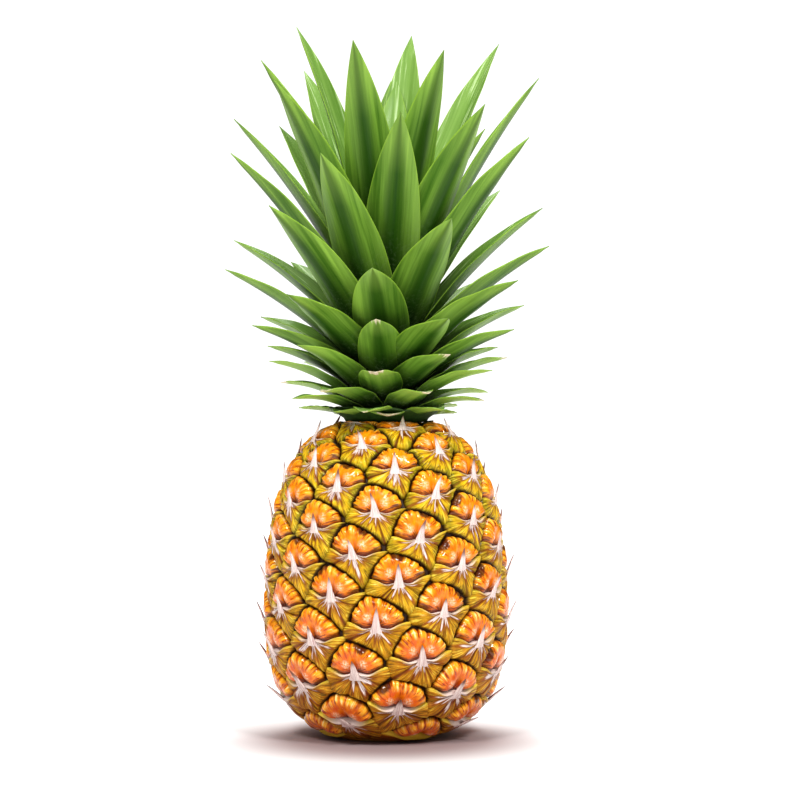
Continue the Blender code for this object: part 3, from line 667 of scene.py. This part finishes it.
faces = np.concatenate([one + i * SPINE_ROWS * SPINE_SIDES for i in range(len(all_points))])
make_piece("eye_spines", np.concatenate(all_points), faces,
           {"spine_place": np.concatenate(all_places),
            "spine_front": np.concatenate(all_fronts)}, dry_paper, "fruit")

# ---- The stub of the stalk ----
# What is left of the stalk that the fruit grew on, snapped off just inside the base. Its end is
# bundles of pale fibres with a browned rim.

# Cut stalk: soft fibrous pith, matt, straw-coloured with brown dots where the bundles end, about
# 1.4 mm apart.
stalk_pith, tree, shader = start_material("stalk_pith", 0.8)
place = add(tree, "ShaderNodeTexCoord", {}, {}).outputs["Object"]
bundles = add(tree, "ShaderNodeTexVoronoi", {}, {"Vector": place, "Scale": 700.0})
dots = add(tree, "ShaderNodeMapRange", SOFT_STEP,
           {0: bundles, START: 0.15, END: 0.4, LEAST: 0.9, MOST: 0.0})
pith = add(tree, "ShaderNodeMix", COLOUR,
           {SHARE: dots, UNDER: linear("#cdb887"), OVER: linear("#7d5c31")})
bump = add(tree, "ShaderNodeBump", {}, {"Height": bundles, "Strength": 0.6, "Distance": 0.6 * MM})
feed(tree, shader.inputs["Base Color"], pith)
feed(tree, shader.inputs["Normal"], bump)
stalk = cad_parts["stalk"]
for slot in stalk.material_slots:
    slot.material = stalk_pith

# ---- The stem of the crown ----
# The short stem that carries the leaves, grown into the top of the fruit. Only its neck shows,
# where the dark green bases of the lowest leaves flare out like a cup, pleated where they meet.

STEM_BASE_RADIUS, STEM_TOP_RADIUS = 20 * MM, 8 * MM
STEM_COLUMNS, LEAF_BASES = 144, 9
# Rings from below: radius, height over the seat and how deep the leaf bases fold it, in mm
STEM_RINGS = ((0.5, -1, 0), (20.5, -1, 0.4), (21.5, 0.8, 0.8), (24.5, 2.6, 1.6), (27.5, 4.2, 2.4),
              (29, 5.2, 3), (27.5, 5.6, 3), (19, 4.4, 0), (14, 30, 0), (8, 59, 0), (0.5, 60, 0))

# Stem skin: living plant skin, deep green and matt, mottled lighter by scurf about every 2.5 mm.
# Its near-black green is partly painted shade, as dark as the shaded bases of the leaves.
stem_skin, tree, shader = start_material("stem_skin", 0.6)
place = add(tree, "ShaderNodeTexCoord", {}, {}).outputs["Object"]
scurf = add(tree, "ShaderNodeTexNoise", {}, {"Vector": place, "Scale": 400.0, "Detail": 4.0})
skin = add(tree, "ShaderNodeMix", COLOUR,
           {SHARE: scurf, UNDER: linear("#142c08"), OVER: linear("#3c5e1c")})
feed(tree, shader.inputs["Base Color"], skin)

turns = np.linspace(0, 2 * math.pi, STEM_COLUMNS, endpoint=False)
bases = np.abs(np.cos(LEAF_BASES / 2 * turns))
rings = []
for radius, height, fold in STEM_RINGS:
    around = (radius + fold * (bases - 0.6)) * MM
    rings.append(round_ring(around, turns, SEAT_HEIGHT + (height + fold * 0.5 * bases) * MM))
make_piece("crown_stem", np.concatenate(rings), grid_faces(len(rings), STEM_COLUMNS, closed=True),
           {}, stem_skin, "crown")

# ---- The leaves of the crown ----
# Thick, stiff, waxy leaves in one rosette on the golden-angle spiral, youngest in the middle.
# Each is a channelled blade with smooth edges that clasps the stem. The lowest are short scales,
# many with a dried tip.

FIRST_LEAF, LAST_LEAF = -6, 64
FRONT_LEAF, FRONT_LEAF_ANGLE = 2, math.radians(-10)
LEAF_TURN = math.radians(137.48)
LEAF_THICKNESS, LOW_LEAF_CHANNEL, LEAF_CHANNEL = 1.3 * MM, 0.09, 0.2
LEAF_ROWS, LEAF_COLUMNS, LEAF_SEED = 36, 13, 6000
# Leaves that grew out of line: how far each is turned, in degrees, and its tip raised, in mm
OUT_OF_LINE = {-6: (-8, 0), 2: (-3, -4), 8: (10, 4), 9: (5, -3), 10: (-4, -5), 12: (9, 2),
               13: (0, 5), 15: (-8, -5), 18: (5, 4), 20: (-5, -4), 22: (-7, -2), 23: (13, 8),
               28: (8, -2), 30: (14, 2), 33: (5, 0), 34: (0, 4), 36: (0, -7), 39: (14, 13),
               41: (-6, -2), 42: (0, -10), 43: (-9, 0), 44: (2, 12), 46: (0, 9), 47: (0, -4),
               48: (-15, -24), 49: (-3, -4), 50: (-4, -4), 51: (0, 12), 53: (0, 13),
               54: (-3, -19), 55: (0, -22), 56: (5, 19), 58: (4, 0), 60: (-5, -11),
               61: (9, 11), 62: (9, -14), 63: (0, 5), 64: (66, 0)}
# Young leaves that aren't full grown: the share of their length that they have
HALF_GROWN = {59: 0.7, 64: 0.84}
# Low leaves whose tips have dried, and the share of the leaf that has
DRIED = {-6: 0.2, 2: 0.04, 4: 0.05, 7: 0.07, 8: 0.05, 10: 0.08, 15: 0.12, 17: 0.04, 20: 0.05,
         23: 0.03}
# By how high a leaf sits in the crown, from 0 to 1: how far out and up its tip comes, in mm, how
# much it arches, and how broad it is, in mm
LEAF_STAGES = [0, 0.1, 0.23, 0.35, 0.45, 0.55, 0.66, 0.78, 0.9, 1]
TIP_REACHES = [45, 55, 61, 63, 78, 83, 84, 78, 79, 47]
TIP_HEIGHTS = [167, 173, 189, 201, 214, 238, 265, 320, 346, 362]
ARCH_STAGES, ARCHES = [0, 0.06, 0.2, 0.4, 1], [0.08, 0.18, 0.16, 0.09, 0.06]
WIDTH_STAGES, LEAF_WIDTHS = [0, 0.25, 0.55, 0.8, 1], [19, 22, 28, 29, 27]

LENGTHWISE = (1.0, 0.03, 50.0)

# Leaf cuticle: living leaf under a waxy skin with a satin sheen. The outer side is a deep green,
# the inner side paler and greyer, with silver scurf in streaks. Its veins run lengthwise, really
# about 0.5 mm apart, and drawn 1 to 2 mm apart so that they show.
leaf_cuticle, tree, shader = start_material("leaf_cuticle", 0.42, IOR=1.45, Specular_IOR_Level=0.2,
                                            Coat_Weight=0.1, Coat_Roughness=0.2)
place = add(tree, "ShaderNodeAttribute", {"attribute_name": "leaf_place"}, {}).outputs["Vector"]
kind = add(tree, "ShaderNodeAttribute", {"attribute_name": "leaf_kind"}, {}).outputs["Vector"]
part = add(tree, "ShaderNodeAttribute", {"attribute_name": "leaf_part"}, {}).outputs["Vector"]
raised_here = add(tree, "ShaderNodeAttribute", {"attribute_name": "leaf_upper"}, {}).outputs["Fac"]
inner_here, margin_here, dry_here = add(tree, "ShaderNodeSeparateXYZ", {}, {0: kind}).outputs
along_here, spread_here, broad_here = add(tree, "ShaderNodeSeparateXYZ", {}, {0: part}).outputs
lengthwise = add(tree, "ShaderNodeVectorMath", TIMES, {0: place, 1: LENGTHWISE})
veins = add(tree, "ShaderNodeTexNoise", {}, {"Vector": lengthwise, "Scale": 0.75,
                                             "Detail": 3.0, "Roughness": 0.6})
broad = add(tree, "ShaderNodeTexNoise", {}, {"Vector": lengthwise, "Scale": 0.2, "Detail": 2.0})
# The outer side has light veins, painted shade along its keel on the upper leaves, and painted
# light towards the tip, most on the low leaves
patchy = add(tree, "ShaderNodeMath", TIMES_PLUS, {0: broad, 1: 1.5, 2: -0.3})
shade = add(tree, "ShaderNodeMath", TIMES_PLUS, {0: veins, 1: 0.8, 2: -0.4})
shade = add(tree, "ShaderNodeMath", {**PLUS, **CLAMPED}, {0: patchy, 1: shade})
outer = add(tree, "ShaderNodeMix", COLOUR,
            {SHARE: shade, UNDER: linear("#355f10"), OVER: linear("#98bf50")})
# Painted shade: a dark band along the keel of the upper leaves
keel = add(tree, "ShaderNodeMath", TIMES_PLUS, {0: broad, 1: -0.8, 2: spread_here})
keel = add(tree, "ShaderNodeMapRange", SOFT_STEP, {0: keel, START: 0.2, END: -0.3, MOST: 0.9})
keel = add(tree, "ShaderNodeMath", TIMES, {0: keel, 1: raised_here})
outer = add(tree, "ShaderNodeMix", COLOUR, {SHARE: keel, UNDER: outer, OVER: linear("#244a0a")})
painted_tip_light = add(tree, "ShaderNodeMapRange", SOFT_STEP,
               {0: along_here, START: 0.3, END: 0.95, MOST: 0.75})
painted_tip_light = add(tree, "ShaderNodeMath", {**TIMES_PLUS, **CLAMPED},
               {0: raised_here, 1: -0.55, 2: painted_tip_light})
outer = add(tree, "ShaderNodeMix", COLOUR, {SHARE: painted_tip_light, UNDER: outer, OVER: linear("#a6c662")})
# The inner side has silvery streaks
inner = add(tree, "ShaderNodeMix", COLOUR,
            {SHARE: shade, UNDER: linear("#557a2c"), OVER: linear("#8eb05e")})
green = add(tree, "ShaderNodeMix", COLOUR, {SHARE: inner_here, UNDER: outer, OVER: inner})
streak = add(tree, "ShaderNodeMapRange", SOFT_STEP, {0: veins, START: 0.56, END: 0.7, MOST: 0.6})
streak = add(tree, "ShaderNodeMath", TIMES, {0: streak, 1: inner_here})
streaked = add(tree, "ShaderNodeMix", COLOUR,
               {SHARE: streak, UNDER: green, OVER: linear("#cfe3b4")})
# Both have painted shade towards the stem, with spots of scurf 2 mm across there, and yellow-green
# at the margin
base_shade_and_scurf = add(tree, "ShaderNodeMapRange", SOFT_STEP,
              {0: along_here, START: 0.56, END: 0.08, MOST: 0.95})
base_shaded = add(tree, "ShaderNodeMix", COLOUR,
            {SHARE: base_shade_and_scurf, UNDER: streaked, OVER: linear("#142b08")})
scurf = add(tree, "ShaderNodeTexNoise", {}, {"Vector": place, "Scale": 0.5, "Detail": 5.0,
                                             "Roughness": 0.7})
scurf = add(tree, "ShaderNodeMapRange", SOFT_STEP, {0: scurf, START: 0.5, END: 0.62, MOST: 0.4})
scurf = add(tree, "ShaderNodeMath", TIMES, {0: scurf, 1: base_shade_and_scurf})
scurfy = add(tree, "ShaderNodeMix", COLOUR, {SHARE: scurf, UNDER: base_shaded, OVER: linear("#a3b192")})
edge = add(tree, "ShaderNodeMapRange", SOFT_STEP,
           {0: margin_here, START: 0.6, END: 0.1, MOST: 0.45})
edge = add(tree, "ShaderNodeMath", TIMES, {0: edge, 1: broad_here})
edged = add(tree, "ShaderNodeMix", COLOUR, {SHARE: edge, UNDER: scurfy, OVER: linear("#98bd3e")})
# Dried tips are like straw, and the veins show less at any tip
dry = add(tree, "ShaderNodeMath", TIMES_PLUS, {0: veins, 1: 0.25, 2: dry_here})
dry = add(tree, "ShaderNodeMapRange", SOFT_STEP, {0: dry, START: 1.08, END: 1.16})
husk = add(tree, "ShaderNodeMix", COLOUR,
           {SHARE: veins, UNDER: linear("#b39a66"), OVER: linear("#efead8")})
dried = add(tree, "ShaderNodeMix", COLOUR, {SHARE: dry, UNDER: edged, OVER: husk})
stand_out = add(tree, "ShaderNodeMath", TIMES, {0: broad_here, 1: 0.3})
bump = add(tree, "ShaderNodeBump", {}, {"Height": veins, "Distance": 0.4 * MM,
                                        "Strength": stand_out})
feed(tree, shader.inputs["Base Color"], dried)
feed(tree, shader.inputs["Normal"], bump)


def leaf_lines(index):
    """Centre line of one leaf: how high it sits in the crown, how far along it each row is, the
    points of its line, the way it runs there, and the way across it."""
    share = max(index, 0) / LAST_LEAF
    short = min(index, 0)
    turn, lift = OUT_OF_LINE.get(index, (0, 0))
    angle = FRONT_LEAF_ANGLE - (index - FRONT_LEAF) * LEAF_TURN + math.radians(turn)
    outward = np.array([math.sin(angle), -math.cos(angle), 0])
    side = np.array([math.cos(angle), math.sin(angle), 0])
    root_height = SEAT_HEIGHT + (1.6 + 54 * share**1.5) * MM
    stem = np.interp(share, [0, 1], [STEM_BASE_RADIUS, STEM_TOP_RADIUS])
    root = outward * (stem - 4 * MM) + np.array([0, 0, root_height])
    reach = np.interp(share, LEAF_STAGES, TIP_REACHES) + 2.2 * short
    height = np.interp(share, LEAF_STAGES, TIP_HEIGHTS)
    chord = outward * reach * MM + np.array([0, 0, (height + 0.6 * short + lift) * MM]) - root
    chord = chord * HALF_GROWN.get(index, 1)
    tip = root + chord
    arch = np.cross(chord, side) * np.interp(share, ARCH_STAGES, ARCHES)
    bend = (root + tip) / 2 + arch
    along = (1 - (1 - np.linspace(0, 1, LEAF_ROWS)) ** 1.25)[:, None]
    line = root * (1 - along) ** 2 + 2 * bend * along * (1 - along) + tip * along**2
    ahead = (bend - root) * (1 - along) + (tip - bend) * along
    ahead = ahead / np.linalg.norm(ahead, axis=1, keepdims=True)
    return share, along, line, ahead, side


def leaf_half_width(share, along):
    """Half the width of a leaf along it: full in its first half, then running out to a point."""
    fullest = 0.35
    greatest = np.interp(share, WIDTH_STAGES, LEAF_WIDTHS) * MM
    foot = np.interp(share, [0, 0.4], [1, 0.55])
    before = foot + (1 - foot) * smooth(0, fullest, along)
    beyond = 1 - np.clip((along - fullest) / (1 - fullest), 0, 1) ** 2.3
    return greatest / 2 * np.where(along < fullest, before, beyond)


for index in range(FIRST_LEAF, LAST_LEAF + 1):
    chance = np.random.default_rng(LEAF_SEED + index)
    share, along, line, ahead, side = leaf_lines(index)
    half = np.maximum(leaf_half_width(share, along), 0.05 * MM)
    normal = np.cross(ahead, side)
    spread = np.linspace(-1, 1, LEAF_COLUMNS)[None, :]
    channel = np.interp(share, [0, 0.4], [LOW_LEAF_CHANNEL, LEAF_CHANNEL])
    rise = half * 2 * channel * np.abs(spread) ** 1.5
    # Slight waves along the margins, which fade out at the root and the tip
    depth, pace, begun = chance.uniform(0.1, 0.35), chance.uniform(14, 24), chance.uniform(0, 6)
    ripple = depth * MM * np.sin(along * pace + begun + 2 * spread)
    ripple = ripple * np.abs(spread) * smooth(0, 0.3, along) * smooth(1, 0.8, along)
    thick = LEAF_THICKNESS / 2 * (1 - 0.7 * spread**2) * np.clip(half / (3 * MM), 0.4, 1)
    # The inner and the outer side, joined in a ring round the blade
    middle = line[:, None, :] + side * (half * spread)[..., None]
    lift = (rise + ripple)[..., None] * normal[:, None, :]
    inner = middle + lift + normal[:, None, :] * thick[..., None]
    outer = middle + lift - normal[:, None, :] * thick[..., None]
    ring = np.concatenate([inner, outer[:, ::-1]], axis=1)
    faces = grid_faces(LEAF_ROWS, 2 * LEAF_COLUMNS, closed=True)
    steps = np.linalg.norm(np.diff(line, axis=0), axis=1)
    length = np.concatenate([[0], np.cumsum(steps)])[:, None]
    sides = np.concatenate([spread, spread[:, ::-1]], axis=1)
    where = np.stack([half * sides / MM, length / MM + 0 * sides,
                      np.full_like(half * sides, chance.random())], -1)
    is_inner = np.concatenate([np.ones((1, LEAF_COLUMNS)), np.zeros((1, LEAF_COLUMNS))], 1)
    dryness = DRIED.get(index, -0.3)
    within = half * (1 - np.abs(sides)) / MM
    about = np.stack([is_inner + 0 * along, within, along + dryness + 0 * sides], -1)
    parts = np.stack([along + 0 * sides, np.abs(sides) + 0 * along,
                      smooth(1.5 * MM, 5 * MM, half) + 0 * sides], -1)
    raised = np.full((len(ring) * ring.shape[1], 3), smooth(0.12, 0.4, share))
    leaf = make_piece(f"leaf_{index - FIRST_LEAF:02d}", ring.reshape(-1, 3), faces,
                      {"leaf_place": where.reshape(-1, 3), "leaf_kind": about.reshape(-1, 3),
                       "leaf_part": parts.reshape(-1, 3), "leaf_upper": raised},
                      leaf_cuticle, "crown")
    leaf.data.set_sharp_from_angle(angle=math.radians(50))

# ---- The floor, the lights and the camera ----
# A white studio. The floor is a sheet of white acrylic that glows further out and runs out of sight
# into a white surround, with a warm grey shadow painted on it round the fruit. Two soft lights
# stand at the upper left and upper right in front, and a large one hangs above and a little behind.
# The camera looks level from 1.3 m away.

CAMERA_AWAY, CAMERA_HEIGHT, CAMERA_ASIDE = 1.3, 0.171, 0.007
CAMERA_LENS = 114.7
FLOOR_HALF = 12
SHADE_AHEAD, SHADE_INNER, SHADE_OUTER = 0.018, 0.036, 0.105
GLOW_INNER, GLOW_OUTER = 0.14, 0.4
# Each lamp's name, place, width in metres and power in watts
LAMPS = (("left", (-0.5, -1.15, 1.35), 0.35, 12), ("right", (0.6, -1.15, 1.35), 0.35, 16),
         ("over", (0, 0.45, 1.7), 1.0, 19))
LAMPS_AIM = Vector((0, 0, 0.18))

floor_data = bpy.data.meshes.new("floor")
corners = [(x * FLOOR_HALF, y * FLOOR_HALF, 0) for x, y in ((-1, -1), (1, -1), (1, 1), (-1, 1))]
floor_data.from_pydata(corners, [], [(0, 1, 2, 3)])
floor = bpy.data.objects.new("floor", floor_data)
bpy.context.scene.collection.objects.link(floor)
# White acrylic: cast sheet with a matt top that glows white further out. Close round the fruit it
# doesn't glow, and a shadow is painted on it in warm grey, reaching a little further out in front
# than behind.
white_acrylic, tree, shader = start_material("white_acrylic", 0.9)
place = add(tree, "ShaderNodeTexCoord", {}, {}).outputs["Object"]
away = add(tree, "ShaderNodeVectorMath", LENGTH, {0: place})
floor_glow = add(tree, "ShaderNodeMapRange", SOFT_STEP,
                     {0: away, START: GLOW_INNER, END: GLOW_OUTER})
fore = add(tree, "ShaderNodeVectorMath", PLUS, {0: place, 1: (0, SHADE_AHEAD, 0)})
fore = add(tree, "ShaderNodeVectorMath", LENGTH, {0: fore})
painted_shadow = add(tree, "ShaderNodeMapRange", SOFT_STEP, {0: fore, START: SHADE_INNER, END: SHADE_OUTER})
# Painted shadow: warm grey close round the fruit, white further out
near = add(tree, "ShaderNodeMix", COLOUR,
           {SHARE: painted_shadow, UNDER: linear("#a49393"), OVER: linear("#eaeaea")})
top = add(tree, "ShaderNodeMix", COLOUR,
          {SHARE: floor_glow, UNDER: near, OVER: linear("#7c7c7c")})
feed(tree, shader.inputs["Base Color"], top)
shader.inputs["Emission Color"].default_value = linear("#ffffff")
feed(tree, shader.inputs["Emission Strength"], floor_glow)
floor_data.materials.append(white_acrylic)

# The surround is white to the camera, a little warm and dimmer as light on the fruit, and nearly
# dark in its gloss, so that the highlights come from the lamps
world = bpy.data.worlds.new("studio")
bpy.context.scene.world = world
world.use_nodes = True
tree = world.node_tree
path = add(tree, "ShaderNodeLightPath", {}, {})
soft = add(tree, "ShaderNodeBackground", {}, {"Color": linear("#fffafb"), "Strength": 0.52})
dim = add(tree, "ShaderNodeBackground", {}, {"Color": linear("#ffffff"), "Strength": 0.05})
white = add(tree, "ShaderNodeBackground", {}, {"Color": linear("#ffffff"), "Strength": 1.0})
mirrored = add(tree, "ShaderNodeMixShader", {}, {0: path.outputs["Is Glossy Ray"], 1: soft, 2: dim})
surround = add(tree, "ShaderNodeMixShader", {}, {0: path.outputs["Is Camera Ray"],
                                                 1: mirrored, 2: white})
feed(tree, tree.nodes["World Output"].inputs["Surface"], surround)

for name, place, size, power in LAMPS:
    lamp = bpy.data.lights.new(name, "AREA")
    lamp.size = size
    lamp.energy = power
    light = bpy.data.objects.new(name, lamp)
    light.location = place
    light.rotation_euler = (LAMPS_AIM - Vector(place)).to_track_quat("-Z", "Y").to_euler()
    bpy.context.scene.collection.objects.link(light)

lens = bpy.data.cameras.new("camera")
lens.lens = CAMERA_LENS
lens.sensor_width = 36
lens.clip_end = 100
camera = bpy.data.objects.new("camera", lens)
camera.location = (CAMERA_ASIDE, -CAMERA_AWAY, CAMERA_HEIGHT)
camera.rotation_euler = (math.pi / 2, 0, 0)
bpy.context.scene.collection.objects.link(camera)
bpy.context.scene.camera = camera
bpy.context.scene.view_settings.view_transform = "Standard"
# As contrasty as the photograph
bpy.context.scene.view_settings.look = "Medium High Contrast"
